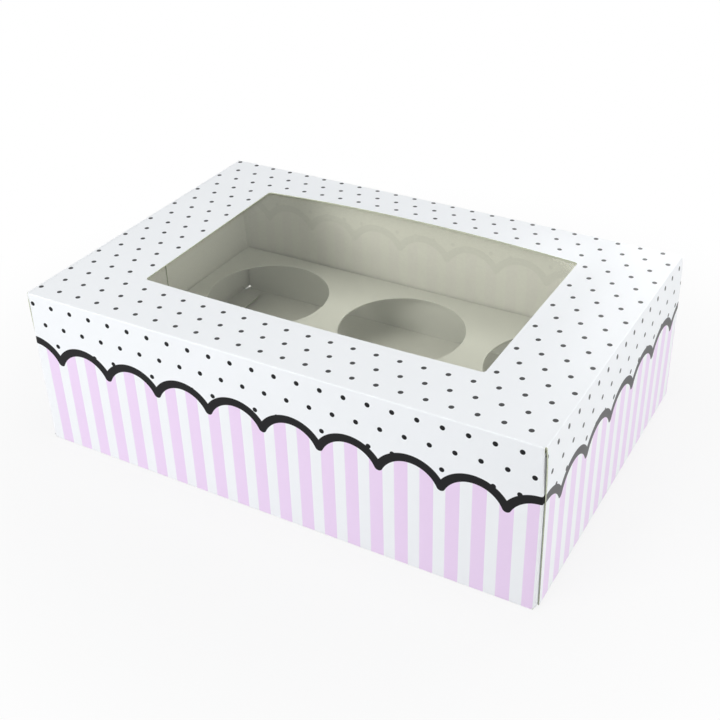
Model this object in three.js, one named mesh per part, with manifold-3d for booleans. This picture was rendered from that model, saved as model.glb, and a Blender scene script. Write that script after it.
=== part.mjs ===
// Cupcake box: a tuck-end folding carton that lies on its base.
// A glued tube of coated board makes the base, walls and top, and a clear film closes the window cut in the top.
// Each short end is shut by an end flap that hangs from the top panel and tucks in over the base.
// A folded card tray with round holes stands inside and holds the cupcakes apart.
// Millimetres, +Z up. The origin is on the surface the box stands on, under its middle. X runs along the
// long side, the front wall faces -Y.
import * as THREE from "three";
import { mergeVertices } from "three/addons/utils/BufferGeometryUtils.js";
import Module from "manifold-3d";

const wasm = await Module();
wasm.setup();

// The tube.
const LENGTH = 240; // between the outer faces of the dust flaps
const DEPTH = 163; // between the outer faces of the long walls
const HEIGHT = 77.6; // from the surface it stands on to the top
const BOARD = 0.5; // thickness of the board
const CREASE = 1; // outside radius of a crease in the board

// The window in the top, and how the top has warped round it.
const WINDOW_LENGTH = 164;
const WINDOW_DEPTH = 100;
const WINDOW_SHIFT = 2.4; // how far the window's middle is behind the box's
const WINDOW_CORNER = 1.5; // radius of the window's corners
const BACK_RISE = 3; // how far the window's back edge stands up at its middle
const FRONT_SAG = 1; // how far the window's front edge hangs down at its middle

// The clear film glued under the window.
const FILM = 0.2; // thickness of the film
const FILM_LAP = 9; // width of the film glued to the board round the window
const GLUE_GAP = 0.15; // room for the glue between the film and the board

// The seam flap, glued inside the back wall along the base.
const SEAM_HEIGHT = 14;
const SEAM_TAPER = 8; // how much shorter the seam flap is at each end of its free edge

// The dust flaps, folded in from the ends of the long walls.
const DUST_LENGTH = 70; // along Y, from the wall's outer face
const DUST_TOP_GAP = 3; // between a dust flap and the top's outer face
const DUST_TOP_SLOPE = 4; // how far its top edge falls towards its free end
const DUST_FOOT = 1.2; // height of its lower edge at the crease
const DUST_CLEARANCE = 4.5; // height of its lower edge over the tongue
const DUST_RELIEF = 5; // width of its lower edge near the crease

// The end flaps. Each has a panel, and a tongue folded at the panel's foot.
const HINGE_GAP = 0.3; // between an end flap and the tube
const END_SPRING = 0.8; // how far the fold at the top pushes the panel out
const END_STIFFNESS = 14; // how soon below that fold the panel stands out
const END_INSET_TOP = 0.7; // between the panel's side edge and the wall's face, at the top
const END_INSET_FOOT = 0.5; // the same at the foot
const TONGUE_LENGTH = 15;
const TONGUE_TILT = 6.5; // degrees, the tongue's rise towards its free edge
const TONGUE_INSET = 8; // between the tongue's side and the wall's face
const TONGUE_CORNER = 9; // radius of the tongue's free corners
const TONGUE_REST = 0.3; // between the tongue and the base

// The cupcake tray.
const TRAY_TOP = 27.2; // height of its upper face
const TRAY_BOARD = 0.45; // thickness of its card
const TRAY_END_GAP = 1.5; // between the tray and the dust flaps
const TRAY_SIDE_GAP = 0.6; // between the tray and the long walls or the seam flap
const TRAY_CREASE = 1; // outside radius of its creases
const COLUMNS = 3;
const ROWS = 2;
const CUP_HOLE = 63; // diameter of a hole
const CUP_MARGIN = 3; // between the room of the outer cupcakes and the box's outer faces

// How finely curved shapes are divided.
const PANEL_STEP = 12; // longest facet on the warped top and on the sprung end panel
const CREASE_STEPS = 4; // facets on a crease
const CORNER_STEPS = 6; // facets on a rounded corner
const HOLE_STEPS = 40; // facets round a hole in the tray
const CUT = 5; // how far a cutting shape reaches past what it cuts

const flatHalf = DEPTH / 2 - CREASE; // where the flat of the top ends and its crease begins
const windowFront = WINDOW_SHIFT - WINDOW_DEPTH / 2;
const windowBack = WINDOW_SHIFT + WINDOW_DEPTH / 2;

const board = new THREE.MeshStandardMaterial({ color: 0xf3f2f6, roughness: 0.35, metalness: 0 });
const flapBoard = new THREE.MeshStandardMaterial({ color: 0xe6d8ee, roughness: 0.35, metalness: 0 });
const card = new THREE.MeshStandardMaterial({ color: 0xeeeee6, roughness: 0.7, metalness: 0 });
const clear = new THREE.MeshStandardMaterial({
  color: 0xe9ecdf,
  roughness: 0.08,
  metalness: 0,
  transparent: true,
  opacity: 0.3,
});

// A closed geometry as a solid that can be joined and cut.
function solidOf(geometry) {
  const bare = geometry.clone();
  bare.deleteAttribute("normal");
  bare.deleteAttribute("uv");
  const merged = mergeVertices(bare, 1e-4);
  return new wasm.Manifold(
    new wasm.Mesh({
      numProp: 3,
      vertProperties: new Float32Array(merged.attributes.position.array),
      triVerts: new Uint32Array(merged.index.array),
    }),
  );
}

// A solid as a named mesh.
function meshOf(name, solid, material) {
  const { numProp, numVert, vertProperties, triVerts } = solid.getMesh();
  const points = new Float32Array(numVert * 3);
  for (let i = 0; i < numVert; i++) points.set(vertProperties.subarray(i * numProp, i * numProp + 3), i * 3);
  const geometry = new THREE.BufferGeometry();
  geometry.setAttribute("position", new THREE.BufferAttribute(points, 3));
  geometry.setIndex(new THREE.BufferAttribute(triVerts, 1));
  geometry.computeVertexNormals();
  const mesh = new THREE.Mesh(geometry, material);
  mesh.name = name;
  return mesh;
}

// A flat outline pushed out from a to b along an axis. Its points are (x, y) along Z, (y, z) along X and (x, z) along Y.
function pushed(outline, axis, a, b) {
  const shape = outline instanceof THREE.Shape ? outline : new THREE.Shape(outline);
  const geometry = new THREE.ExtrudeGeometry(shape, {
    depth: b - a,
    bevelEnabled: false,
    curveSegments: CORNER_STEPS,
  });
  if (axis === "z") geometry.translate(0, 0, a);
  if (axis === "y") geometry.rotateX(Math.PI / 2).translate(0, b, 0);
  if (axis === "x") {
    const turn = new THREE.Matrix4().makeBasis(
      new THREE.Vector3(0, 1, 0),
      new THREE.Vector3(0, 0, 1),
      new THREE.Vector3(1, 0, 0),
    );
    geometry.applyMatrix4(turn).translate(a, 0, 0);
  }
  return solidOf(geometry);
}

const flat = (points) => points.map(([a, b]) => new THREE.Vector2(a, b));

// A block between two corners.
function block([x0, y0, z0], [x1, y1, z1]) {
  const geometry = new THREE.BoxGeometry(x1 - x0, y1 - y0, z1 - z0);
  return solidOf(geometry.translate((x0 + x1) / 2, (y0 + y1) / 2, (z0 + z1) / 2));
}

// Points on an arc between two angles in degrees, both ends included.
function arc(centreA, centreB, radius, from, to, steps) {
  return Array.from({ length: steps + 1 }, (_, i) => {
    const angle = THREE.MathUtils.degToRad(from + ((to - from) * i) / steps);
    return new THREE.Vector2(centreA + radius * Math.cos(angle), centreB + radius * Math.sin(angle));
  });
}

// Evenly spaced values from a to b with no step over the given size.
function stations(a, b, step) {
  const count = Math.max(1, Math.ceil((b - a) / step));
  return Array.from({ length: count + 1 }, (_, i) => a + ((b - a) * i) / count);
}

// The section of a sheet that follows a line, with its thickness shared between the line's two sides.
function sheetSection(line, thickness, roundStart = false) {
  const side = (sign) =>
    line.map((point, i) => {
      const before = line[Math.max(0, i - 1)];
      const after = line[Math.min(line.length - 1, i + 1)];
      const into = point.clone().sub(before).normalize();
      const out = after.clone().sub(point).normalize();
      const along = into.add(out).normalize();
      const turn = i > 0 && i < line.length - 1 ? along.dot(out) : 1;
      return new THREE.Vector2(-along.y, along.x).multiplyScalar((sign * thickness) / 2 / turn).add(point);
    });
  const outline = [...side(1), ...side(-1).reverse()];
  if (!roundStart) return outline;
  const facing = line[1].clone().sub(line[0]).angle() * THREE.MathUtils.RAD2DEG;
  const cap = arc(line[0].x, line[0].y, thickness / 2, facing - 90, facing - 270, CORNER_STEPS);
  return [...outline, ...cap.slice(1, -1)];
}

// The points of a crease at a corner of a line: a curve that leads from one direction into the other. It starts and
// ends as far from the corner as an arc of the given radius would.
function bend(corner, into, out, radius, steps) {
  const reach = radius * Math.tan(Math.acos(THREE.MathUtils.clamp(into.dot(out), -1, 1)) / 2);
  const start = corner.clone().addScaledVector(into, -reach);
  const end = corner.clone().addScaledVector(out, reach);
  return new THREE.QuadraticBezierCurve(start, corner, end).getPoints(steps);
}

// How far the top has warped from flat at a place on it.
function warp(x, y) {
  const along = Math.max(0, 1 - (x / (LENGTH / 2)) ** 2);
  const bends = [
    [-flatHalf, 0],
    [windowFront, -FRONT_SAG],
    [windowBack, BACK_RISE],
    [flatHalf, 0],
  ];
  const next = bends.findIndex(([place]) => y <= place);
  if (next < 1) return 0;
  const [y0, z0] = bends[next - 1];
  const [y1, z1] = bends[next];
  return along * THREE.MathUtils.mapLinear(y, y0, y1, z0, z1);
}

// A closed surface over a grid of points that meets itself at both ends.
function closedGrid(rows) {
  const across = rows[0].length;
  const index = [];
  rows.forEach((_, i) => {
    const next = (i + 1) % rows.length;
    for (let j = 0; j < across; j++) {
      const k = (j + 1) % across;
      index.push(i * across + j, next * across + k, next * across + j);
      index.push(i * across + j, i * across + k, next * across + k);
    }
  });
  const geometry = new THREE.BufferGeometry();
  const points = rows.flat().flatMap((p) => [p.x, p.y, p.z]);
  geometry.setAttribute("position", new THREE.BufferAttribute(new Float32Array(points), 3));
  geometry.setIndex(index);
  return geometry;
}

// The tube's section at one distance in from its outer face: a ring of (y, z) that runs forwards over the top, down the
// front, back along the base and up the back.
function tubeRing(inset) {
  const radius = CREASE - inset;
  const [low, high] = [CREASE, HEIGHT - CREASE];
  const corner = (y, z, from) => arc(y, z, radius, from, from + 90, CREASE_STEPS);
  const top = stations(windowFront, windowBack, PANEL_STEP);
  const topLine = [
    ...stations(-flatHalf, windowFront, PANEL_STEP).slice(1, -1),
    ...top,
    ...stations(windowBack, flatHalf, PANEL_STEP).slice(1, -1),
  ];
  return [
    ...topLine.reverse().map((y) => new THREE.Vector2(y, HEIGHT - inset)),
    ...corner(-flatHalf, high, 90),
    ...corner(-flatHalf, low, 180),
    ...corner(flatHalf, low, 270),
    ...corner(flatHalf, high, 0),
  ];
}

// The base, walls and top as one band of board, before the window is cut.
function tube() {
  const places = stations(-LENGTH / 2, LENGTH / 2, PANEL_STEP);
  const skin = (inset, x) =>
    tubeRing(inset).map(({ x: y, y: z }) => {
      const lift = z > HEIGHT - BOARD - CREASE ? warp(x, y) : 0;
      return new THREE.Vector3(x, y, z + lift);
    });
  const outside = places.map((x) => skin(0, x));
  const inside = places.map((x) => skin(BOARD, x)).reverse();
  return solidOf(closedGrid([...outside, ...inside]));
}

// A rectangle with rounded corners.
function roundedRectangle(x0, y0, x1, y1, radius) {
  const shape = new THREE.Shape();
  shape.moveTo(x0 + radius, y0);
  shape.lineTo(x1 - radius, y0).absarc(x1 - radius, y0 + radius, radius, -Math.PI / 2, 0);
  shape.lineTo(x1, y1 - radius).absarc(x1 - radius, y1 - radius, radius, 0, Math.PI / 2);
  shape.lineTo(x0 + radius, y1).absarc(x0 + radius, y1 - radius, radius, Math.PI / 2, Math.PI);
  shape.lineTo(x0, y0 + radius).absarc(x0 + radius, y0 + radius, radius, Math.PI, 1.5 * Math.PI);
  return shape;
}

function windowCut() {
  const half = WINDOW_LENGTH / 2;
  const outline = roundedRectangle(-half, windowFront, half, windowBack, WINDOW_CORNER);
  return pushed(outline, "z", HEIGHT / 2, HEIGHT + BACK_RISE + CUT);
}

// The dust flap at one end of one long wall. side is 1 at the right end, wall is -1 at the front.
function dustFlap(side, wall) {
  const x = LENGTH / 2 - CREASE;
  const free = DEPTH / 2 - DUST_LENGTH;
  const section = [
    new THREE.Vector2(x - CREASE, -DEPTH / 2),
    ...arc(x, -flatHalf, CREASE, -90, 0, CREASE_STEPS),
    new THREE.Vector2(LENGTH / 2, -free),
    new THREE.Vector2(LENGTH / 2 - BOARD, -free),
    ...arc(x, -flatHalf, CREASE - BOARD, 0, -90, CREASE_STEPS),
    new THREE.Vector2(x - CREASE, BOARD - DEPTH / 2),
  ].map((p) => new THREE.Vector2(side * p.x, -wall * p.y));
  const high = HEIGHT - DUST_TOP_GAP;
  const outline = flat([
    [-DEPTH / 2 - CUT, DUST_FOOT],
    [DUST_RELIEF - DEPTH / 2, DUST_FOOT],
    [DUST_RELIEF - DEPTH / 2 + DUST_CLEARANCE - DUST_FOOT, DUST_CLEARANCE],
    [-free + CUT, DUST_CLEARANCE],
    [-free + CUT, high - DUST_TOP_SLOPE],
    [-free, high - DUST_TOP_SLOPE],
    [-DEPTH / 2 + DUST_RELIEF, high],
    [-DEPTH / 2 - CUT, high],
  ]).map((p) => new THREE.Vector2(-wall * p.x, p.y));
  const reach = LENGTH / 2 + CUT;
  return pushed(section, "z", 0, HEIGHT).intersect(pushed(outline, "x", -reach, reach));
}

// The strip of board, folded up from the base, that is glued to the back wall.
function seamFlap() {
  const half = LENGTH / 2 - 2 * CREASE;
  const outline = flat([
    [-half, 0],
    [half, 0],
    [half - SEAM_TAPER, SEAM_HEIGHT],
    [SEAM_TAPER - half, SEAM_HEIGHT],
  ]);
  const [a, b] = [DEPTH / 2 - 2 * BOARD, DEPTH / 2 - BOARD / 2];
  const above = block([-LENGTH, 0, BOARD / 2], [LENGTH, DEPTH, HEIGHT / 2]);
  return pushed(outline, "y", a, b).intersect(above);
}

// The tube with its window, its dust flaps and its seam: one folded and glued sheet.
function cartonBody() {
  let body = tube().subtract(windowCut());
  for (const side of [-1, 1])
    for (const wall of [-1, 1]) {
      const [x0, x1] = [side * (LENGTH / 2 - CREASE), side * (LENGTH / 2 + CUT)].sort((a, b) => a - b);
      const [y0, y1] = [wall * flatHalf, wall * (DEPTH / 2 + CUT)].sort((a, b) => a - b);
      body = body.subtract(block([x0, y0, -CUT], [x1, y1, HEIGHT + CUT]));
      body = body.add(dustFlap(side, wall));
    }
  return body.add(seamFlap());
}

// A sheet over a grid of places, between two heights that depend on the place.
function sheet(xs, ys, highOf, lowOf) {
  const loop = ys.length;
  const row = (x) => [
    ...ys.map((y) => new THREE.Vector3(x, y, highOf(x, y))),
    ...[...ys].reverse().map((y) => new THREE.Vector3(x, y, lowOf(x, y))),
  ];
  const rows = xs.map(row);
  const ring = 2 * loop;
  const index = [];
  for (let i = 0; i + 1 < rows.length; i++)
    for (let j = 0; j < ring; j++) {
      const k = (j + 1) % ring;
      index.push(i * ring + j, (i + 1) * ring + j, (i + 1) * ring + k);
      index.push(i * ring + j, (i + 1) * ring + k, i * ring + k);
    }
  const last = (rows.length - 1) * ring;
  for (let j = 0; j + 1 < loop; j++) {
    const under = ring - 1 - j;
    index.push(j, j + 1, under - 1, j, under - 1, under);
    index.push(last + j, last + under - 1, last + j + 1, last + j, last + under, last + under - 1);
  }
  const geometry = new THREE.BufferGeometry();
  const points = rows.flat().flatMap((p) => [p.x, p.y, p.z]);
  geometry.setAttribute("position", new THREE.BufferAttribute(new Float32Array(points), 3));
  geometry.setIndex(index);
  return solidOf(geometry);
}

// The clear film, glued to the underside of the top all round the window. It follows the top's warp.
function windowFilm() {
  const half = WINDOW_LENGTH / 2 + FILM_LAP;
  const ys = [
    ...stations(windowFront - FILM_LAP, windowFront, PANEL_STEP),
    ...stations(windowFront, windowBack, PANEL_STEP).slice(1),
    ...stations(windowBack, windowBack + FILM_LAP, PANEL_STEP).slice(1),
  ];
  const high = HEIGHT - BOARD - GLUE_GAP;
  return sheet(
    stations(-half, half, PANEL_STEP / 2),
    ys,
    (x, y) => high + warp(x, y),
    (x, y) => high - FILM + warp(x, y),
  );
}

// The right end flap: a panel that hangs from its crease with the top, and the tongue tucked in at its foot.
function endFlap() {
  const x = LENGTH / 2 + HINGE_GAP + BOARD / 2;
  const [foot, head] = [BOARD + TONGUE_REST + BOARD / 2, HEIGHT - BOARD / 2];
  const tilt = THREE.MathUtils.degToRad(TONGUE_TILT);
  const inward = new THREE.Vector2(-Math.cos(tilt), Math.sin(tilt));
  const spring = (z) => {
    const down = Math.min(1, (head - z) / (head - foot));
    return END_SPRING * (1 - (1 - down) ** END_STIFFNESS);
  };
  const corner = new THREE.Vector2(x + spring(foot), foot);
  const crease = bend(corner, new THREE.Vector2(0, -1), inward, CREASE - BOARD / 2, CREASE_STEPS);
  const panel = stations(crease[0].y, head, PANEL_STEP / 2).reverse();
  const line = [
    ...panel.slice(0, -1).map((z) => new THREE.Vector2(x + spring(z), z)),
    ...crease,
    corner.clone().addScaledVector(inward, TONGUE_LENGTH),
  ];
  const full = pushed(sheetSection(line, BOARD, true), "y", -DEPTH / 2, DEPTH / 2);
  const [wide, narrow] = [DEPTH / 2 - END_INSET_TOP, DEPTH / 2 - END_INSET_FOOT];
  const face = flat([
    [-narrow, 0],
    [narrow, 0],
    [wide, HEIGHT],
    [-wide, HEIGHT],
  ]);
  const sides = pushed(face, "x", 0, LENGTH);
  const half = DEPTH / 2 - TONGUE_INSET;
  const tongueEnd = LENGTH / 2 - TONGUE_LENGTH - CUT;
  const free = x - TONGUE_LENGTH * Math.cos(tilt);
  const plan = flat([
    [LENGTH / 2 + HINGE_GAP, -half],
    [LENGTH / 2 + HINGE_GAP, -DEPTH],
    [LENGTH, -DEPTH],
    [LENGTH, DEPTH],
    [LENGTH / 2 + HINGE_GAP, DEPTH],
    [LENGTH / 2 + HINGE_GAP, half],
  ]).concat(
    arc(free + TONGUE_CORNER, half - TONGUE_CORNER, TONGUE_CORNER, 90, 180, CORNER_STEPS),
    flat([
      [tongueEnd, half - TONGUE_CORNER],
      [tongueEnd, TONGUE_CORNER - half],
    ]),
    arc(free + TONGUE_CORNER, TONGUE_CORNER - half, TONGUE_CORNER, 180, 270, CORNER_STEPS),
  );
  return full.intersect(sides).intersect(pushed(plan, "z", -CUT, HEIGHT + CUT));
}

// The tray: a plate with round holes that stands on a leg folded down along each long side.
function cupcakeTray() {
  const half = DEPTH / 2 - 2 * BOARD - TRAY_SIDE_GAP - TRAY_BOARD / 2;
  const [foot, head] = [BOARD, TRAY_TOP - TRAY_BOARD / 2];
  const radius = TRAY_CREASE - TRAY_BOARD / 2;
  const [up, down, across] = [new THREE.Vector2(0, 1), new THREE.Vector2(0, -1), new THREE.Vector2(1, 0)];
  const line = [
    new THREE.Vector2(-half, foot),
    ...bend(new THREE.Vector2(-half, head), up, across, radius, CREASE_STEPS),
    ...bend(new THREE.Vector2(half, head), across, down, radius, CREASE_STEPS),
    new THREE.Vector2(half, foot),
  ];
  const reach = LENGTH / 2 - BOARD - TRAY_END_GAP;
  let tray = pushed(sheetSection(line, TRAY_BOARD), "x", -reach, reach);
  const roomLength = (LENGTH - 2 * CUP_MARGIN) / COLUMNS;
  const roomDepth = (DEPTH - 2 * CUP_MARGIN) / ROWS;
  for (let column = 0; column < COLUMNS; column++)
    for (let row = 0; row < ROWS; row++) {
      const hole = new THREE.CylinderGeometry(CUP_HOLE / 2, CUP_HOLE / 2, 2 * CUT, HOLE_STEPS);
      const x = (column - (COLUMNS - 1) / 2) * roomLength;
      const y = (row - (ROWS - 1) / 2) * roomDepth;
      tray = tray.subtract(solidOf(hole.rotateX(Math.PI / 2).translate(x, y, TRAY_TOP)));
    }
  return tray;
}

const box = new THREE.Group();
box.add(meshOf("carton_body", cartonBody(), board));
box.add(meshOf("window_film", windowFilm(), clear));
box.add(meshOf("cupcake_tray", cupcakeTray(), card));

// Both ends have the same flap. The left one is turned half round the box's upright axis.
box.add(meshOf("end_flap_right", endFlap(), flapBoard));
const leftEnd = new THREE.Group();
leftEnd.rotation.z = Math.PI;
leftEnd.add(meshOf("end_flap_left", endFlap(), flapBoard));
box.add(leftEnd);

export default box;
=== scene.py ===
import math

import bpy
import numpy as np
from mathutils import Matrix, Vector

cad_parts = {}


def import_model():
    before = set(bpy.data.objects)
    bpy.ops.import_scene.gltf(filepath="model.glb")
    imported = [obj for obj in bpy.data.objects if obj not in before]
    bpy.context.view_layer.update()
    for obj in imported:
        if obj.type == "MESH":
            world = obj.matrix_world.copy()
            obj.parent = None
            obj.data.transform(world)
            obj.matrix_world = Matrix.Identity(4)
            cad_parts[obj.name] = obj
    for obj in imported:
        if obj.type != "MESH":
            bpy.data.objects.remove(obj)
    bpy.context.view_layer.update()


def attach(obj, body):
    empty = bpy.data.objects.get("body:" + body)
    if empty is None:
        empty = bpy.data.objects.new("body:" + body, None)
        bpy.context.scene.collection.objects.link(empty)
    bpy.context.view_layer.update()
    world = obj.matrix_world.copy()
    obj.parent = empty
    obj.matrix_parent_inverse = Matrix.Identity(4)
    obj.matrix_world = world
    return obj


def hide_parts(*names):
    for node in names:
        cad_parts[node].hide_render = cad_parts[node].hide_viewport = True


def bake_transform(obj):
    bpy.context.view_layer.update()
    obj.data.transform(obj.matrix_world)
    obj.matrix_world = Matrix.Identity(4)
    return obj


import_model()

MM = 0.001
TINY = 1e-6

# The carton. The creases and the top's warp are finer here than on the solid part.
LENGTH, DEPTH, HEIGHT = 240, 163, 77.6
BOARD = 0.5  # thickness of the board
CREASE = 0.55  # outside radius of a crease in the board
FLAT_HALF = DEPTH / 2 - CREASE  # where the flat of the top ends and its crease begins

# The window and the top's warp.
WINDOW_LENGTH, WINDOW_DEPTH = 164, 100
WINDOW_SHIFT = 2.4  # how far the window's middle is behind the box's
WINDOW_CORNER = 1.5  # radius of the window's corners
WINDOW_FRONT = WINDOW_SHIFT - WINDOW_DEPTH / 2
WINDOW_BACK = WINDOW_SHIFT + WINDOW_DEPTH / 2
BACK_RISE, FRONT_SAG = 3.2, 1  # how far the window's back edge stands up and its front edge hangs down
WARP_SHIFT, WARP_REACH = -5, 90  # the middle of that warp along X, and how far it reaches each way
RIGHT_RISE = 0.5  # how high the strip on the right of the window arches
RIGHT_RISE_AT, RIGHT_RISE_REACH = 102, 17  # the middle of that arch along X, and its reach
BACK_SINK = 1.1  # how much lower the top is at its back right corner

# The window's film.
FILM, FILM_LAP, GLUE_GAP = 0.2, 9, 0.15
RIPPLE = 0.25  # how far the film dips at most
RIPPLE_X, RIPPLE_Y, RIPPLE_START = 23, 31, 1  # lengths of the ripple per radian, and its phase
RIPPLE_RIM = 4  # how soon inside the window's edge the ripple has its full depth

# The seam flap and the dust flaps.
SEAM_HEIGHT, SEAM_TAPER = 14, 8
DUST_LENGTH, DUST_TOP_GAP, DUST_TOP_SLOPE = 70, 3, 4
DUST_FOOT, DUST_CLEARANCE, DUST_RELIEF = 1.2, 4.5, 5
DUST_TOP = HEIGHT - DUST_TOP_GAP
LEAN_MORE = 0.15  # how much further than the end panel's spring a dust flap leans out
LEAN_AT_FOLD, LEAN_RUN = 0.85, 1.5  # share of that lean at the flap's fold, and how far on it is full
LEAN_FULL, LEAN_NONE = 52, 70  # heights below and above which a dust flap leans fully and not at all

# The end flaps.
HINGE_GAP = 0.3  # between an end flap and the tube
END_SPRING, END_STIFFNESS = 0.8, 14  # how far the fold pushes the panel out, and how soon below it
END_INSET_TOP, END_INSET_FOOT = 0.7, 0.5  # between the panel's side edges and the walls' faces
END_SWAY = 2.3  # how far the foot of each end panel has moved back
TONGUE_LENGTH, TONGUE_TILT, TONGUE_INSET, TONGUE_CORNER, TONGUE_REST = 15, 6.5, 8, 9, 0.3
STRIP_START = LENGTH / 2 - 0.6  # where the top panel hands over to the end flap's fold

# The tray.
TRAY_TOP, TRAY_BOARD, TRAY_CREASE = 27.2, 0.45, 1
TRAY_END_GAP, TRAY_SIDE_GAP = 1.5, 0.6
COLUMNS, ROWS, CUP_HOLE, CUP_MARGIN = 3, 2, 63, 3

# How finely the sheets are cut into facets.
CELL = 4  # longest facet on a panel
SUPPORT = 0.3  # width of the facets next to a fold, which keep its shading narrow
MERGE = 0.3  # an evenly spaced line closer than this to a fixed one is left out
FOLD_STEPS, CORNER_STEPS, TONGUE_STEPS = 6, 6, 8
SEAM_CELL, SEAM_COLUMNS = 3, 48
END_COLUMNS, END_RIM = 40, 0.993  # columns over an end panel, and the share of its width where its rim starts
HOLE_CELLS = 16  # facets on each side of the square round a hole
HOLE_RIM = 0.06  # share of the way out from a hole that its narrow ring of facets takes
TONGUE_LINES = (0.6, 2.5)  # distances from its fold of the first lines across a tongue


def warp(x, y):
    """How far the top has warped from flat at a place on it."""
    along = max(0, 1 - ((x - WARP_SHIFT) / WARP_REACH) ** 2)
    places = (-FLAT_HALF, WINDOW_FRONT, WINDOW_BACK, FLAT_HALF)
    across = float(np.interp(y, places, (0, -FRONT_SAG, BACK_RISE, 0)))
    arch = max(0, 1 - ((x - RIGHT_RISE_AT) / RIGHT_RISE_REACH) ** 2) * max(0, 1 - (y / FLAT_HALF) ** 2)
    return along * across + RIGHT_RISE * arch


def settle(x, y, z):
    """A point of the upright box, let down towards its back right corner."""
    right, back = (min(1, max(0, 0.5 + v)) for v in (x / LENGTH, y / DEPTH))
    return x, y, z * (1 - BACK_SINK / HEIGHT * right**2 * back**3)


def spring(z):
    """How far the end panel stands out from its crease at a height, because the fold springs back."""
    down = min(1, max(0, (HEIGHT - CREASE - z) / (HEIGHT - CREASE)))
    return END_SPRING * (1 - (1 - down) ** END_STIFFNESS)


def stations(a, b, step, *fixed):
    """Evenly spaced values from a to b with no step over the given size, and some fixed values among them."""
    values = set(np.linspace(a, b, max(1, math.ceil(abs(b - a) / step)) + 1).round(5))
    values = [v for v in values if all(abs(v - f) > MERGE for f in fixed) or v in (a, b)]
    return sorted({*values, *(round(f, 5) for f in fixed)}, reverse=b < a)


def quarter(steps=FOLD_STEPS):
    """Angles of a quarter turn, in radians."""
    return np.radians(np.linspace(0, 90, steps + 1))


class Sheet:
    """A folded sheet: faces over points that each have a place on the outer and on the inner side."""

    def __init__(self):
        self.keys, self.outer, self.inner, self.faces = {}, [], [], []

    def point(self, outer, inner):
        key = tuple(round(float(v), 3) for v in outer)
        if key not in self.keys:
            self.keys[key] = len(self.outer)
            self.outer.append(outer)
            self.inner.append(inner)
        return self.keys[key]

    def face(self, corners, panel):
        """corners are (outer, inner, (u, v)), anticlockwise from outside. panel numbers the materials."""
        index = [self.point(o, i) for o, i, _ in corners]
        kept = [k for k in range(len(index)) if index[k] != index[k - 1]]
        if len(kept) > 2:
            self.faces.append(([index[k] for k in kept], [corners[k][2] for k in kept], panel))

    def grid(self, rows, cols, at, panel_of):
        """Faces between rows and cols. at(row, col, panel) gives a corner, and panel_of(row, row, col, col)
        the panel of a cell, or None where there is no board."""
        for r0, r1 in zip(rows, rows[1:]):
            for c0, c1 in zip(cols, cols[1:]):
                panel = panel_of(r0, r1, c0, c1)
                if panel is not None:
                    self.face([at(r, c, panel) for r, c in ((r0, c0), (r0, c1), (r1, c1), (r1, c0))], panel)

    def build(self, name, panels, edge):
        """The sheet as an object. panels has an (outside, inside) pair of materials for each number, and edge
        is the cut edge's material."""
        count = len(self.outer)
        points = [tuple(v * MM for v in settle(*p)) for p in self.outer + self.inner]
        faces, maps, materials, used = [], [], [], {}
        for index, uv, panel in self.faces:
            faces += [index, [i + count for i in reversed(index)]]
            maps += [uv, list(reversed(uv))]
            materials += [2 * panel, 2 * panel + 1]
            for k, b in enumerate(index):
                a = index[k - 1]
                used.setdefault((min(a, b), max(a, b)), []).append((a, b, uv[k - 1], uv[k]))
        rim = [sides[0] for sides in used.values() if len(sides) == 1]
        for a, b, uv_a, uv_b in rim:
            faces.append([b, a, a + count, b + count])
            maps.append([uv_b, uv_a, uv_a, uv_b])
            materials.append(2 * len(panels))
        mesh = bpy.data.meshes.new(name)
        mesh.from_pydata(points, [], faces)
        layer = mesh.uv_layers.new(name="print")
        layer.data.foreach_set("uv", [v for uv in maps for corner in uv for v in corner])
        for outside, inside in panels:
            mesh.materials.append(outside)
            mesh.materials.append(inside)
        mesh.materials.append(edge)
        mesh.polygons.foreach_set("material_index", materials)
        mesh.polygons.foreach_set("use_smooth", [True] * len(faces))
        sharp = {(min(a, b), max(a, b)) for a, b, _, _ in rim}
        sharp |= {(a + count, b + count) for a, b in sharp}
        for e in mesh.edges:
            e.use_edge_sharp = (min(e.vertices), max(e.vertices)) in sharp
        mesh.validate()
        return placed(name, mesh)


def placed(name, data):
    """A new object in the scene."""
    thing = bpy.data.objects.new(name, data)
    bpy.context.scene.collection.objects.link(thing)
    return thing


# Nodes.


def put(tree, socket, value):
    if isinstance(value, bpy.types.NodeSocket):
        tree.links.new(value, socket)
    else:
        socket.default_value = value


def math_node(tree, operation, *values):
    node = tree.nodes.new("ShaderNodeMath")
    node.operation = operation
    for socket, value in zip(node.inputs, values):
        put(tree, socket, value)
    return node.outputs[0]


def mix_colours(tree, share, a, b, blend="MIX"):
    node = tree.nodes.new("ShaderNodeMix")
    node.data_type, node.blend_type = "RGBA", blend
    for name, value in (("Factor_Float", share), ("A_Color", a), ("B_Color", b)):
        put(tree, next(s for s in node.inputs if s.identifier == name), value)
    return next(s for s in node.outputs if s.identifier == "Result_Color")


def noise(tree, scale, detail, roughness=0.5, stretch=None):
    """Noise over the piece, with scale in features to the metre."""
    place = tree.nodes.new("ShaderNodeTexCoord").outputs["Object"]
    if stretch:
        mapping = tree.nodes.new("ShaderNodeMapping")
        tree.links.new(place, mapping.inputs["Vector"])
        mapping.inputs["Scale"].default_value = stretch
        place = mapping.outputs["Vector"]
    node = tree.nodes.new("ShaderNodeTexNoise")
    tree.links.new(place, node.inputs["Vector"])
    node.inputs["Scale"].default_value = scale
    node.inputs["Detail"].default_value = detail
    node.inputs["Roughness"].default_value = roughness
    return node.outputs["Fac"]


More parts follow.
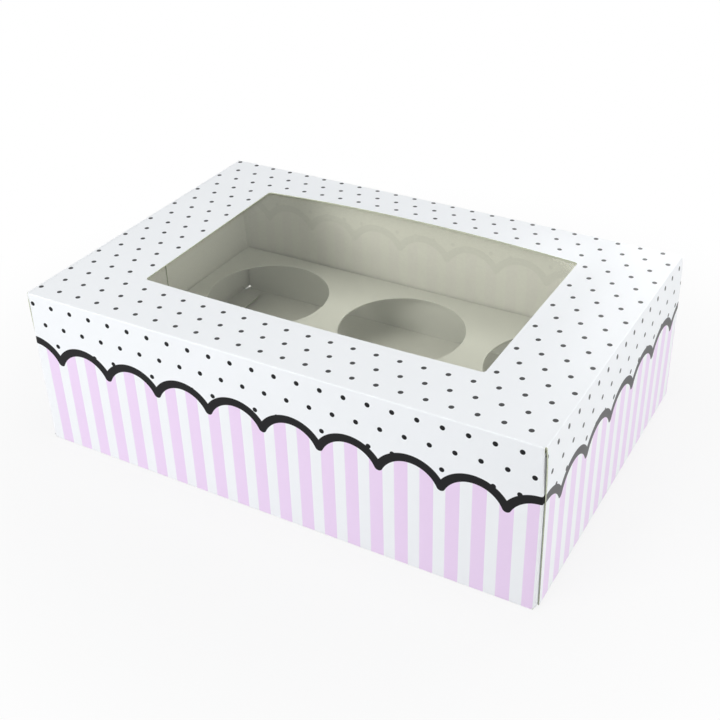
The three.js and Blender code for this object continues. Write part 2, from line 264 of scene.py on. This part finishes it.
def ramp(tree, value, low, high, to_low=0.0, to_high=1.0, smooth=False):
    node = tree.nodes.new("ShaderNodeMapRange")
    node.interpolation_type = "SMOOTHSTEP" if smooth else "LINEAR"
    names = ("Value", "From Min", "From Max", "To Min", "To Max")
    for name, v in zip(names, (value, low, high, to_low, to_high)):
        put(tree, node.inputs[name], v)
    return node.outputs["Result"]


def bump(tree, shader, height, distance, strength=1.0):
    node = tree.nodes.new("ShaderNodeBump")
    node.inputs["Distance"].default_value = distance * MM
    node.inputs["Strength"].default_value = strength
    put(tree, node.inputs["Height"], height)
    tree.links.new(node.outputs["Normal"], shader.inputs["Normal"])


def new_material(name):
    material = bpy.data.materials.new(name)
    material.use_nodes = True
    tree = material.node_tree
    return material, tree, tree.nodes["Principled BSDF"]


def tone(colour, factor):
    """A colour made lighter or darker."""
    return tuple(c * factor for c in colour[:3]) + (1,)


WHITE = (0.875, 0.895, 0.915, 1)
LILAC = (0.825, 0.66, 0.875, 1)
BLACK = (0.006, 0.006, 0.007, 1)
# The cut edge's colour is darkened with painted shade, which the narrow edge would catch.
CUT_EDGE_SHADED = (0.47, 0.50, 0.38, 1)
# The bare side's slight warm tint is partly its own cream and partly painted light, the warm glow bounced
# round inside the box.
BARE = (0.93, 0.93, 0.90, 1)
CARD, CARD_DARK = (0.92, 0.925, 0.90, 1), (0.90, 0.905, 0.88, 1)

SHEEN = {"top": 0.45, "wall": 0.16, "back": 0.16, "end": 0.6, None: 0.16}  # the coat's on each panel
BARE_SHEEN, EDGE_SHEEN, CARD_SHEEN = 0.3, 0.25, 0.35
COAT_ROUGHNESS, BARE_ROUGHNESS = (0.36, 0.44), (0.75, 0.88)
CARD_ROUGHNESS, EDGE_ROUGHNESS = (0.62, 0.78), 0.85
COAT_BUMP, BARE_BUMP = 0.012, 0.03
PAINTED_PRINT_SHADE = 0.07  # how dark the print's painted shade is on the bare side, standing in for light that passes through the thin board

DOT_RADIUS = 1.10
LINE_WIDTH = 3.75
STRIPE_SHARE = 0.535
PRINT_DROP, PRINT_TILT = 0.3, 0.0105  # how the print on an end panel is set low at its front and climbs
BARE_MARGIN = 1.15  # width round the window that the dots keep clear of
BARE_END = 0.35  # width at a wall's ends that the stripes keep clear of
BLEED = 6  # how far the black print runs on past a wall's side folds
INK_EDGE = 0.12  # width over which ink fades into bare board

# Where each panel's print lies, in the panel's own (u, v): a dot with the half steps between dots along u
# and v, a cusp of the scalloped line with its pitch and its two heights, and the middle of a lilac stripe
# with the stripes' pitch. climb is how the rows of dots rise along u.
PRINTS = {
    "top": {"dot": (80.66, -55.03), "step": (5.241, 9.607), "climb": 0},
    "wall": {
        "dot": (-117.89, 72.89), "step": (5.225, 9.607), "climb": 0,
        "cusp": 0, "pitch": 26.78, "cusp_z": 45.4, "peak_z": 53.85,
        "stripe": -2.42, "stripe_pitch": 10.968,
    },
    "back": {
        "dot": (-121.9, 75.7), "step": (5.225, 9.607), "climb": 0,
        "cusp": -4, "pitch": 26.78, "cusp_z": 47.8, "peak_z": 55.7,
        "stripe": -6.4, "stripe_pitch": 10.968,
    },
    "end": {
        "dot": (-70.7, 72.55), "step": (5.24, 9.5), "climb": 0.0115,
        "cusp": -65.0, "pitch": 27.5, "cusp_z": 45.1, "peak_z": 53.6,
        "stripe": -73.2, "stripe_pitch": 11.28,
    },
}


def print_colour(tree, pattern, paper):
    """The panel's print over a paper colour, from the unrolled place in the UV map."""
    if pattern is None:
        return paper
    p = PRINTS[pattern]
    uv = tree.nodes.new("ShaderNodeUVMap")
    uv.uv_map = "print"
    split = tree.nodes.new("ShaderNodeSeparateXYZ")
    tree.links.new(uv.outputs["UV"], split.inputs["Vector"])
    u, v = split.outputs["X"], split.outputs["Y"]

    def m(*values):
        return math_node(tree, *values)

    def length(a, b):
        return m("SQRT", m("ADD", m("MULTIPLY", a, a), m("MULTIPLY", b, b)))

    def ink(distance, reach):
        return ramp(tree, distance, reach + INK_EDGE / 2, reach - INK_EDGE / 2)

    # Two lattices of dots, each in the middle of the other's cells.
    (dot_u, dot_v), (step_u, step_v) = p["dot"], p["step"]
    across = m("PINGPONG", m("SUBTRACT", u, dot_u), step_u)
    row = m("MULTIPLY_ADD", m("SUBTRACT", u, dot_u), p["climb"], dot_v)
    along = m("PINGPONG", m("SUBTRACT", v, row), step_v)
    first = length(across, along)
    second = length(m("SUBTRACT", step_u, across), m("SUBTRACT", step_v, along))
    dots = ink(m("MINIMUM", first, second), DOT_RADIUS)
    if "cusp" not in p:
        past_x = m("SUBTRACT", m("ABSOLUTE", u), WINDOW_LENGTH / 2 + BARE_MARGIN)
        from_middle = m("ABSOLUTE", m("SUBTRACT", v, WINDOW_SHIFT))
        past_y = m("SUBTRACT", from_middle, WINDOW_DEPTH / 2 + BARE_MARGIN)
        dots = m("MULTIPLY", dots, m("GREATER_THAN", m("MAXIMUM", past_x, past_y), 0.0))
        return mix_colours(tree, dots, paper, BLACK)

    # The scalloped line is a stroke with round joins along equal arcs.
    half, rise = p["pitch"] / 2, p["peak_z"] - p["cusp_z"]
    radius = (half * half + rise * rise) / (2 * rise)
    centre = p["peak_z"] - radius
    aside = m("PINGPONG", m("SUBTRACT", u, p["cusp"] + half), half)
    above = m("SUBTRACT", v, centre)
    from_centre = length(aside, above)
    past_arc = m("ABSOLUTE", m("SUBTRACT", from_centre, radius))
    past_cusp = length(m("SUBTRACT", aside, half), m("SUBTRACT", v, p["cusp_z"]))
    on_arc = m("GREATER_THAN", above, m("MULTIPLY", aside, (p["cusp_z"] - centre) / half))
    stroke = m("ADD", m("MULTIPLY", on_arc, past_arc), m("MULTIPLY", m("SUBTRACT", 1.0, on_arc), past_cusp))
    line = ink(stroke, LINE_WIDTH / 2)
    # Lilac stripes fill the scallops from the line down, and dots fill the rest above it.
    under = m("MAXIMUM", ink(from_centre, radius), m("LESS_THAN", v, centre))
    stripe = m("PINGPONG", m("SUBTRACT", u, p["stripe"]), p["stripe_pitch"] / 2)
    lilac = m("MULTIPLY", ink(stripe, STRIPE_SHARE * p["stripe_pitch"] / 2), under)
    black = m("MAXIMUM", line, m("MULTIPLY", dots, m("SUBTRACT", 1.0, under)))
    if pattern != "end":
        lilac = m("MULTIPLY", lilac, m("LESS_THAN", m("ABSOLUTE", u), LENGTH / 2 - BARE_END))
        black = m("MULTIPLY", black, m("LESS_THAN", m("ABSOLUTE", u), LENGTH / 2 + BLEED))
    return mix_colours(tree, black, mix_colours(tree, lilac, paper, LILAC), BLACK)


def board_material(name, pattern, coated=True):
    """Coated and printed board, or its bare inside, where the print is painted on faintly as the shade it
    would cast in light passing through the board.
    """
    material, tree, shader = new_material(name)
    blotch = ramp(tree, noise(tree, 28, 3), 0.3, 0.7)
    fibre = noise(tree, 900, 4, 0.65, stretch=(0.6, 1, 1))
    if coated:
        paper = mix_colours(tree, blotch, WHITE, tone(WHITE, 0.985))
        colour = print_colour(tree, pattern, paper)
        sheen, rough, height = SHEEN[pattern], COAT_ROUGHNESS, COAT_BUMP
    else:
        pulp = mix_colours(tree, ramp(tree, fibre, 0.35, 0.7), BARE, tone(BARE, 0.95))
        # Painted shade: the print darkens the bare side as if light came through the board.
        shade = print_colour(tree, pattern, (1, 1, 1, 1))
        colour = mix_colours(tree, PAINTED_PRINT_SHADE, pulp, shade, "MULTIPLY")
        sheen, rough, height = BARE_SHEEN, BARE_ROUGHNESS, BARE_BUMP
    put(tree, shader.inputs["Base Color"], colour)
    put(tree, shader.inputs["Roughness"], ramp(tree, blotch, 0, 1, *rough))
    shader.inputs["Specular IOR Level"].default_value = sheen
    bump(tree, shader, fibre, height, 0.6)
    return material


def edge_material():
    """The cut edge of the board: pulp in thin layers, its dark grey-green partly the pulp's own grey and
    partly painted shade on the narrow edge.
    """
    material, tree, shader = new_material("cut_edge")
    layers = ramp(tree, noise(tree, 1500, 3, 0.6), 0.3, 0.7)
    put(tree, shader.inputs["Base Color"], mix_colours(tree, layers, CUT_EDGE_SHADED, tone(CUT_EDGE_SHADED, 1.3)))
    shader.inputs["Roughness"].default_value = EDGE_ROUGHNESS
    shader.inputs["Specular IOR Level"].default_value = EDGE_SHEEN
    bump(tree, shader, layers, BARE_BUMP)
    return material


def card_material():
    """The tray's uncoated white card."""
    material, tree, shader = new_material("tray_card")
    fibre = noise(tree, 700, 5, 0.6, stretch=(0.5, 1, 1))
    cloud = ramp(tree, noise(tree, 20, 2), 0.3, 0.7)
    put(tree, shader.inputs["Base Color"], mix_colours(tree, cloud, CARD, CARD_DARK))
    put(tree, shader.inputs["Roughness"], ramp(tree, fibre, 0.3, 0.7, *CARD_ROUGHNESS))
    shader.inputs["Specular IOR Level"].default_value = CARD_SHEEN
    bump(tree, shader, fibre, BARE_BUMP)
    return material


FILM_TINT = (0.99, 0.99, 0.955, 1)  # at each of its two faces; its slight yellow cast is painted light, the warm glow bounced round inside the box
FILM_MIRROR = (0.9, 0.92, 0.86, 1)
FILM_ROUGHNESS = 0.07
MIRROR_HEAD_ON, MIRROR_RISE, MIRROR_POWER = 0.015, 0.7, 5.0  # the share it mirrors, and how that rises


def film_material():
    """Clear film: it tints what is behind it a little and mirrors more at a low angle."""
    material, tree, principled = new_material("clear_film")
    tree.nodes.remove(principled)
    clear = tree.nodes.new("ShaderNodeBsdfTransparent")
    clear.inputs["Color"].default_value = FILM_TINT
    gloss = tree.nodes.new("ShaderNodeBsdfPrincipled")
    gloss.inputs["Base Color"].default_value = FILM_MIRROR
    gloss.inputs["Metallic"].default_value = 1
    gloss.inputs["Roughness"].default_value = FILM_ROUGHNESS
    facing = tree.nodes.new("ShaderNodeLayerWeight")
    facing.inputs["Blend"].default_value = 0.5
    steep = math_node(tree, "POWER", facing.outputs["Facing"], MIRROR_POWER)
    mix = tree.nodes.new("ShaderNodeMixShader")
    put(tree, mix.inputs[0], math_node(tree, "MULTIPLY_ADD", steep, MIRROR_RISE, MIRROR_HEAD_ON))
    tree.links.new(clear.outputs[0], mix.inputs[1])
    tree.links.new(gloss.outputs[0], mix.inputs[2])
    tree.links.new(mix.outputs[0], tree.nodes["Material Output"].inputs["Surface"])
    return material


cut_edge = edge_material()
top_panel = (board_material("printed_top", "top"), board_material("inside_top", "top", False))
wall_panel = (board_material("printed_wall", "wall"), board_material("inside_wall", "wall", False))
back_panel = (board_material("printed_back", "back"), board_material("inside_back", "back", False))
end_panel = (board_material("printed_end", "end"), board_material("inside_end", "end", False))
base_panel = (board_material("plain_base", None), board_material("inside_base", None, False))
TOP, WALL, BASE, BACK = range(4)

# The carton: the tube's ring of (kind, y, z, normal y, normal z), whose points lie on the outer face.


def arc(y, z, start, end):
    """Points round a fold with its middle at (y, z), between two angles in degrees."""
    angles = np.radians(np.linspace(start, end, FOLD_STEPS + 1))
    return [(y + CREASE * math.cos(t), z + CREASE * math.sin(t), math.cos(t), math.sin(t)) for t in angles]


def wall_levels():
    """Heights of the lines of points on the long walls."""
    low, high = CREASE, HEIGHT - CREASE
    return stations(low, high, CELL, DUST_FOOT, DUST_TOP, high - SUPPORT, DUST_FOOT + SUPPORT)


def ring():
    """The tube's outer ring, anticlockwise seen from the right: base, back wall, top and front wall."""
    low, high = CREASE, HEIGHT - CREASE
    over = stations(
        FLAT_HALF, -FLAT_HALF, CELL, WINDOW_FRONT, WINDOW_BACK, WINDOW_FRONT + WINDOW_CORNER,
        WINDOW_BACK - WINDOW_CORNER, FLAT_HALF - SUPPORT, SUPPORT - FLAT_HALF,
    )
    along = stations(-FLAT_HALF, FLAT_HALF, CELL, FLAT_HALF - SUPPORT, SUPPORT - FLAT_HALF)
    up = wall_levels()
    return (
        [("base", y, 0, 0, -1) for y in along[:-1]]
        + [("fold", *p) for p in arc(FLAT_HALF, low, -90, 0)[:-1]]
        + [("back", DEPTH / 2, z, 1, 0) for z in up[:-1]]
        + [("fold", *p) for p in arc(FLAT_HALF, high, 0, 90)[:-1]]
        + [("top", y, HEIGHT, 0, 1) for y in over[:-1]]
        + [("fold", *p) for p in arc(-FLAT_HALF, high, 90, 180)[:-1]]
        + [("front", -DEPTH / 2, z, -1, 0) for z in up[::-1][:-1]]
        + [("fold", *p) for p in arc(-FLAT_HALF, low, 180, 270)[:-1]]
    )


def tube_corner(row, x, panel):
    _, y, z, ny, nz = row
    lift = warp(x, y) if z > HEIGHT - TINY else 0
    outer = (x, y, z + lift)
    inner = (x, y - ny * BOARD, z - nz * BOARD + lift)
    side = 1 if y < 0 else -1
    return outer, inner, (side * x, z) if panel in (WALL, BACK) else (x, y)


def tube_panel(r0, r1, c0, c1):
    """The panel that a cell of the tube is part of, or None in the window."""
    y, z, x = (r0[1] + r1[1]) / 2, (r0[2] + r1[2]) / 2, (c0 + c1) / 2
    if z > HEIGHT - TINY and abs(x) < WINDOW_LENGTH / 2 and WINDOW_FRONT < y < WINDOW_BACK:
        return None
    if z < CREASE / 4:
        return BASE
    return TOP if z > HEIGHT - CREASE / 4 else WALL if y < 0 else BACK


def tube_end_panel(r0, r1, c0, c1):
    """The panel of a cell near the tube's ends, or None at the dust flaps and at the end flap's fold."""
    y, z, x = (r0[1] + r1[1]) / 2, (r0[2] + r1[2]) / 2, (c0 + c1) / 2
    at_dust_flap = abs(y) > FLAT_HALF and DUST_FOOT < z < DUST_TOP
    at_end_flap = z > HEIGHT - TINY and abs(x) > STRIP_START
    return None if at_dust_flap or at_end_flap else tube_panel(r0, r1, c0, c1)


def window_corners(sheet):
    """The board that rounds off the window's corners."""
    for sx in (-1, 1):
        for edge, sy in ((WINDOW_FRONT, -1), (WINDOW_BACK, 1)):
            x, y = sx * (WINDOW_LENGTH / 2 - WINDOW_CORNER), edge - sy * WINDOW_CORNER
            loop = [(sx * WINDOW_LENGTH / 2, edge)]
            for t in quarter(CORNER_STEPS):
                loop.append((x + sx * WINDOW_CORNER * math.cos(t), y + sy * WINDOW_CORNER * math.sin(t)))
            anticlockwise = loop if sx * sy < 0 else loop[::-1]
            sheet.face([tube_corner(("top", b, HEIGHT, 0, 1), a, TOP) for a, b in anticlockwise], TOP)


def dust_edges(d):
    """The lower and upper edge of a dust flap at a distance from its fold."""
    start = DUST_RELIEF - CREASE
    rise = DUST_CLEARANCE - DUST_FOOT
    low = float(np.interp(d, (start, start + rise), (DUST_FOOT, DUST_CLEARANCE)))
    return low, DUST_TOP - DUST_TOP_SLOPE * max(0, d - start) / (DUST_LENGTH - CREASE - start)


def dust_flap(sheet, side, wall):
    """A dust flap and its fold. side is the end that it closes, and wall the long wall that it folds from."""
    body = LENGTH / 2 - CREASE
    levels = [z for z in wall_levels() if DUST_FOOT - TINY <= z <= DUST_TOP + TINY]
    turn = [("turn", t) for t in quarter()]
    flap = [("flap", d) for d in stations(0, DUST_LENGTH - CREASE, CELL, SUPPORT, DUST_RELIEF - CREASE)[1:]]

    def corner(col, z, panel):
        kind, value = col
        if kind == "turn":
            nx, ny, d, run = math.sin(value), math.cos(value), 0, CREASE * value
        else:
            nx, ny, d, run = 1, 0, value, CREASE * math.pi / 2 + value
        low, high = dust_edges(d)
        level = low + (high - low) * ((z - DUST_FOOT) / (DUST_TOP - DUST_FOOT))
        lean = float(np.interp(d, (0, LEAN_RUN), (LEAN_AT_FOLD, 1)))
        lean *= float(np.interp(level, (LEAN_FULL, LEAN_NONE), (1, 0)))
        x = body + nx * (CREASE + (spring(level) + LEAN_MORE) * lean)
        y = FLAT_HALF + CREASE * ny - d
        outer = (side * x, wall * y, level)
        inner = (side * (x - BOARD * nx), wall * (y - BOARD * ny), level)
        return outer, inner, (-wall * side * (body + run), level)

    columns = turn + flap
    order = columns if side * wall < 0 else columns[::-1]
    sheet.grid(order, levels[::-1], corner, lambda *cell: WALL if wall < 0 else BACK)


def carton():
    """The tube with its window and dust flaps."""
    sheet = Sheet()
    rows = ring()
    rows.append(rows[0])
    half = WINDOW_LENGTH / 2
    body = LENGTH / 2 - CREASE
    cols = stations(
        -body, body, CELL, -half, half, WINDOW_CORNER - half, half - WINDOW_CORNER,
        SUPPORT - body, body - SUPPORT,
    )
    sheet.grid(rows, cols[::-1], tube_corner, tube_panel)
    window_corners(sheet)
    for side in (-1, 1):
        for a, b in ((body, STRIP_START), (STRIP_START, LENGTH / 2)):
            sheet.grid(rows, sorted((side * a, side * b))[::-1], tube_corner, tube_end_panel)
        for wall in (-1, 1):
            dust_flap(sheet, side, wall)
    return sheet.build("carton_board", [top_panel, wall_panel, base_panel, back_panel], cut_edge)


def seam():
    """The strip folded up from the base and glued inside the back wall."""
    sheet = Sheet()
    half = LENGTH / 2 - 2 * CREASE
    y_out, y_in = DEPTH / 2 - BOARD, DEPTH / 2 - 2 * BOARD

    def corner(z, share, panel):
        x = share * (half - SEAM_TAPER * z / SEAM_HEIGHT)
        return (x, y_out, z), (x, y_in, z), (-x, z)

    shares = list(np.linspace(-1, 1, SEAM_COLUMNS + 1))
    sheet.grid(stations(BOARD, SEAM_HEIGHT, SEAM_CELL), shares, corner, lambda *cell: 0)
    return sheet.build("glued_seam", [base_panel], cut_edge)


def end_flap(side):
    """An end panel with its fold at the top, and its tongue."""
    sheet = Sheet()
    fold_x, fold_z = LENGTH / 2 + HINGE_GAP + BOARD - CREASE, HEIGHT - CREASE
    foot_z = BOARD + TONGUE_REST + CREASE
    foot_x = fold_x + spring(foot_z)
    tilt = math.radians(TONGUE_TILT)

    # Its section as (x, z, normal x, normal z) on the outer face: fold, panel, foot and tongue.
    line = [(x, HEIGHT, 0, 1) for x in (STRIP_START, fold_x)]
    for t in quarter()[1:]:
        line.append((fold_x + CREASE * math.sin(t), fold_z + CREASE * math.cos(t), math.sin(t), math.cos(t)))
    for z in stations(fold_z, foot_z, CELL, fold_z - SUPPORT, foot_z + SUPPORT)[1:]:
        slope = spring(z - 0.5) - spring(z + 0.5)  # over one millimetre
        line.append((fold_x + CREASE + spring(z), z, 1, slope))
    for t in np.linspace(0, math.pi / 2 + tilt, FOLD_STEPS + 1)[1:]:
        line.append((foot_x + CREASE * math.cos(t), foot_z - CREASE * math.sin(t), math.cos(t), -math.sin(t)))
    tongue_start = len(line) - 1
    start_x, start_z, *normal = line[-1]
    tongue = TONGUE_LENGTH - CREASE
    along = [*TONGUE_LINES, tongue - TONGUE_CORNER]
    along += [tongue - TONGUE_CORNER * (1 - math.sin(t)) for t in quarter(TONGUE_STEPS)[1:]]
    line += [(start_x - d * math.cos(tilt), start_z + d * math.sin(tilt), *normal) for d in along]

    wide, narrow = DEPTH / 2 - END_INSET_TOP, DEPTH / 2 - END_INSET_FOOT

    def half_width(i):
        x, z, _, _ = line[i]
        if z > fold_z:
            return FLAT_HALF + (wide - FLAT_HALF) * min(1, max(0, (x - fold_x) / CREASE))
        if i < tongue_start:
            return narrow + (wide - narrow) * z / HEIGHT
        past = max(0, math.hypot(x - start_x, z - start_z) - (tongue - TONGUE_CORNER))
        straight = DEPTH / 2 - TONGUE_INSET - TONGUE_CORNER
        return straight + math.sqrt(max(0, TONGUE_CORNER**2 - past**2))

    def corner(i, share, panel):
        x, z, nx, nz = line[i]
        size = math.hypot(nx, nz)
        nx, nz = nx / size, nz / size
        y = share * half_width(i)
        sway = side * END_SWAY * min(1, max(0, 1 - z / fold_z))
        lift = warp(x, side * y) if x < LENGTH / 2 and z > HEIGHT / 2 else 0
        outer = (side * x, side * (y + sway), z + lift)
        inner = (side * (x - nx * BOARD), side * (y + sway), z - nz * BOARD + lift)
        uv = (side * x, side * y) if panel == 0 else (y + sway, z - PRINT_DROP + PRINT_TILT * y)
        return outer, inner, uv

    def panel_of(i, j, a, b):
        return 0 if (line[i][0] + line[j][0]) / 2 < fold_x + CREASE / 2 and line[i][1] > HEIGHT / 2 else 1

    shares = sorted({*np.linspace(-1, 1, END_COLUMNS + 1).round(5), -END_RIM, END_RIM})
    sheet.grid(list(range(len(line))), shares, corner, panel_of)
    name = "right" if side > 0 else "left"
    piece = sheet.build(f"end_board_{name}", [top_panel, end_panel], cut_edge)
    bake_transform(piece)
    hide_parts(f"end_flap_{name}")
    return piece


def film():
    """The clear film under the top, with the slight ripple of a thin sheet held only at its edge."""
    sheet = Sheet()
    half_x, half_y = WINDOW_LENGTH / 2, WINDOW_DEPTH / 2
    xs = stations(-half_x - FILM_LAP, half_x + FILM_LAP, CELL, -half_x, half_x)
    ys = stations(WINDOW_FRONT - FILM_LAP, WINDOW_BACK + FILM_LAP, CELL, WINDOW_FRONT, WINDOW_BACK)

    def corner(y, x, panel):
        inside = max(0, 1 - abs(x) / half_x) * max(0, 1 - abs(y - WINDOW_SHIFT) / half_y)
        wave = 0.5 + 0.5 * math.sin(x / RIPPLE_X + RIPPLE_START) * math.cos(y / RIPPLE_Y)
        z = HEIGHT - BOARD - GLUE_GAP + warp(x, y) - RIPPLE * min(1, RIPPLE_RIM * inside) * wave
        return (x, y, z), (x, y, z - FILM), (x, y)

    sheet.grid(ys, xs, corner, lambda *cell: 0)
    material = film_material()
    return sheet.build("film_sheet", [(material, material)], material)


def tray():
    """The tray: one card with round holes, and a leg folded down along each long side."""
    sheet = Sheet()
    room_x, room_y = (LENGTH - 2 * CUP_MARGIN) / COLUMNS, (DEPTH - 2 * CUP_MARGIN) / ROWS
    edge_x, edge_y = LENGTH / 2 - CUP_MARGIN, DEPTH / 2 - CUP_MARGIN
    reach = LENGTH / 2 - BOARD - TRAY_END_GAP
    side_face = DEPTH / 2 - 2 * BOARD - TRAY_SIDE_GAP
    flat = side_face - TRAY_CREASE

    def at(x, y):
        return (x, y, TRAY_TOP), (x, y, TRAY_TOP - TRAY_BOARD), (x, y)

    def hole(middle_x, middle_y):
        """The card between a hole and the square of room round it."""
        shares = np.linspace(-0.5, 0.5, HOLE_CELLS + 1)[:-1]
        square = [(s * room_x, -room_y / 2) for s in shares] + [(room_x / 2, s * room_y) for s in shares]
        square += [(-s * room_x, room_y / 2) for s in shares] + [(-room_x / 2, -s * room_y) for s in shares]

        def between(place, out):
            x, y = place
            scale = CUP_HOLE / 2 / math.hypot(x, y) * (1 - out) + out
            return at(middle_x + x * scale, middle_y + y * scale)

        for a, b in zip(square, square[1:] + square[:1]):
            for near, far in ((0, HOLE_RIM), (HOLE_RIM, 1)):
                sheet.face([between(a, far), between(b, far), between(b, near), between(a, near)], 0)

    for column in range(COLUMNS):
        for row in range(ROWS):
            hole((column - (COLUMNS - 1) / 2) * room_x, (row - (ROWS - 1) / 2) * room_y)

    # The margins round the holes' rooms, with the same lines of points.
    xs = [-reach]
    for column in range(COLUMNS):
        xs += [-edge_x + column * room_x + room_x * k / HOLE_CELLS for k in range(HOLE_CELLS)]
    xs += [edge_x, reach]
    count = HOLE_CELLS * ROWS
    ys = [-flat] + [-edge_y + 2 * edge_y * k / count for k in range(count + 1)] + [flat]
    for x0, x1 in ((-reach, -edge_x), (edge_x, reach)):
        sheet.grid(ys, [x0, x1], lambda y, x, panel: at(x, y), lambda *cell: 0)
    for y0, y1 in ((-flat, -edge_y), (edge_y, flat)):
        sheet.grid([y0, y1], xs[1:-1], lambda y, x, panel: at(x, y), lambda *cell: 0)

    # A leg's section as (y, z, normal y, normal z): its fold, then straight down to the base.
    section = []
    for t in quarter():
        y, z = flat + TRAY_CREASE * math.sin(t), TRAY_TOP - TRAY_CREASE * (1 - math.cos(t))
        section.append((y, z, math.sin(t), math.cos(t)))
    section += [(side_face, z, 1, 0) for z in stations(TRAY_TOP - TRAY_CREASE, BOARD, CELL)[1:]]
    for side in (-1, 1):

        def leg(i, x, panel):
            y, z, ny, nz = section[i]
            return (x, side * y, z), (x, side * (y - ny * TRAY_BOARD), z - nz * TRAY_BOARD), (x, z)

        sheet.grid(list(range(len(section))), xs if side > 0 else xs[::-1], leg, lambda *cell: 0)
    card = card_material()
    return sheet.build("tray_sheet", [(card, card)], card)


board = carton()
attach(board, "carton")
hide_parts("carton_body")
strip = seam()
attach(strip, "carton")
for side in (1, -1):
    end_flap(side)
pane = film()
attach(pane, "carton")
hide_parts("window_film")
card_tray = tray()
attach(card_tray, "carton")
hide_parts("cupcake_tray")

# The studio. Lengths are metres from here on, and powers are watts.

FLOOR_REACH, FLOOR_DROP = 4.0, 0.0002
FLOOR_COLOUR, FLOOR_ROUGHNESS, FLOOR_SHEEN = (0.6, 0.605, 0.61, 1), 0.9, 0.1
SHADE_NEAR, SHADE_FAR = 0.11, 0.28  # distances from the box's middle between which the floor turns white
SHADE_WHITE = 0.85  # how white it is at the nearer one
DARK_X, DARK_Y = (-0.0019, 0.1209), (0.00075, 0.08075)  # middle and half size of the dark patch under the box
SKY_COLOUR, SKY_LIGHT = (0.97, 0.985, 1, 1), 0.18
AIM = (0, 0, 0.04)  # what the lamps point at
LAMPS = (  # name, place, size and power
    ("overhead", (0.0, -0.12, 1.15), (0.7, 0.7), 4.8),
    ("front_high", (-0.5, -1.15, 0.62), (0.8, 0.6), 9.4),
    ("front_low", (-0.18, -0.48, 0.14), (0.3, 0.2), 0.36),
    ("right", (1.12, 0.0, 0.24), (0.8, 0.5), 6.1),
    ("back", (0.2, 1.2, 0.5), (0.9, 0.5), 7),
)
CAMERA_PLACE = (0.22717, -0.38820, 0.32027)
CAMERA_ANGLES = (30.454, 32.662, -1.683)  # azimuth, elevation and roll, in degrees
SENSOR, LENS = 36, 57.68  # millimetres


def seen_plainly(tree):
    """1 on rays from the camera, a mirror or a clear piece, and 0 on rays that light things."""
    path = tree.nodes.new("ShaderNodeLightPath")
    seen = math_node(tree, "MAXIMUM", path.outputs["Is Camera Ray"], path.outputs["Is Glossy Ray"])
    return math_node(tree, "MAXIMUM", seen, path.outputs["Is Transmission Ray"])


def floor():
    """A pale floor that keeps the box's shadow near it and is white further off."""
    mesh = bpy.data.meshes.new("floor")
    corners = [(x * FLOOR_REACH, y * FLOOR_REACH, 0) for x, y in ((-1, -1), (1, -1), (1, 1), (-1, 1))]
    mesh.from_pydata(corners, [], [(0, 1, 2, 3)])
    piece = placed("floor", mesh)
    piece.location.z = -FLOOR_DROP
    material, tree, shader = new_material("floor")
    shader.inputs["Base Color"].default_value = FLOOR_COLOUR
    shader.inputs["Roughness"].default_value = FLOOR_ROUGHNESS
    shader.inputs["Specular IOR Level"].default_value = FLOOR_SHEEN
    glow = tree.nodes.new("ShaderNodeEmission")
    glow.inputs["Color"].default_value = (1, 1, 1, 1)
    glow.inputs["Strength"].default_value = 1

    split = tree.nodes.new("ShaderNodeSeparateXYZ")
    tree.links.new(tree.nodes.new("ShaderNodeTexCoord").outputs["Object"], split.inputs["Vector"])
    x, y = split.outputs["X"], split.outputs["Y"]
    squares = [math_node(tree, "MULTIPLY", v, v) for v in (x, y)]
    away = math_node(tree, "SQRT", math_node(tree, "ADD", *squares))
    white = ramp(tree, away, SHADE_NEAR, SHADE_FAR, SHADE_WHITE, 1.0, smooth=True)
    # Under the box it stays dark, so that little white shows through the slit at the left end's foot.
    past = []
    for v, (middle, half) in ((x, DARK_X), (y, DARK_Y)):
        distance = math_node(tree, "ABSOLUTE", math_node(tree, "SUBTRACT", v, middle))
        past.append(math_node(tree, "GREATER_THAN", distance, half))
    seen = math_node(tree, "MULTIPLY", seen_plainly(tree), math_node(tree, "MAXIMUM", *past))
    mix = tree.nodes.new("ShaderNodeMixShader")
    put(tree, mix.inputs[0], math_node(tree, "MULTIPLY", seen, white))
    tree.links.new(shader.outputs[0], mix.inputs[1])
    tree.links.new(glow.outputs[0], mix.inputs[2])
    tree.links.new(mix.outputs[0], tree.nodes["Material Output"].inputs["Surface"])
    mesh.materials.append(material)


def world():
    """White to the camera and to mirrors, and a soft even light on everything else."""
    sky = bpy.data.worlds.new("studio")
    bpy.context.scene.world = sky
    sky.use_nodes = True
    tree = sky.node_tree
    background = tree.nodes["Background"]
    background.inputs["Color"].default_value = SKY_COLOUR
    put(tree, background.inputs["Strength"], ramp(tree, seen_plainly(tree), 0, 1, SKY_LIGHT, 1.0))


def lamp(name, place, size, power):
    light = bpy.data.lights.new(name, "AREA")
    light.shape, light.energy = "RECTANGLE", power
    light.size, light.size_y = size
    thing = placed(name, light)
    thing.location = place
    thing.rotation_euler = (Vector(AIM) - Vector(place)).to_track_quat("-Z", "Y").to_euler()


def camera():
    """The view over the front right corner of the box."""
    azimuth, elevation, roll = (math.radians(v) for v in CAMERA_ANGLES)
    ahead = Vector((-math.sin(azimuth), math.cos(azimuth), 0))
    forward = ahead * math.cos(elevation) - Vector((0, 0, math.sin(elevation)))
    level = Vector((math.cos(azimuth), math.sin(azimuth), 0))
    upright = level.cross(forward)
    right = level * math.cos(roll) + upright * math.sin(roll)
    up = upright * math.cos(roll) - level * math.sin(roll)
    data = bpy.data.cameras.new("camera")
    data.sensor_width, data.lens = SENSOR, LENS
    data.clip_start, data.clip_end = 0.01, 50
    thing = placed("camera", data)
    turn = Matrix((right, up, -forward)).transposed().to_4x4()
    thing.matrix_world = Matrix.Translation(CAMERA_PLACE) @ turn
    bpy.context.scene.camera = thing


floor()
world()
for entry in LAMPS:
    lamp(*entry)
camera()
bpy.context.scene.view_settings.view_transform = "Standard"
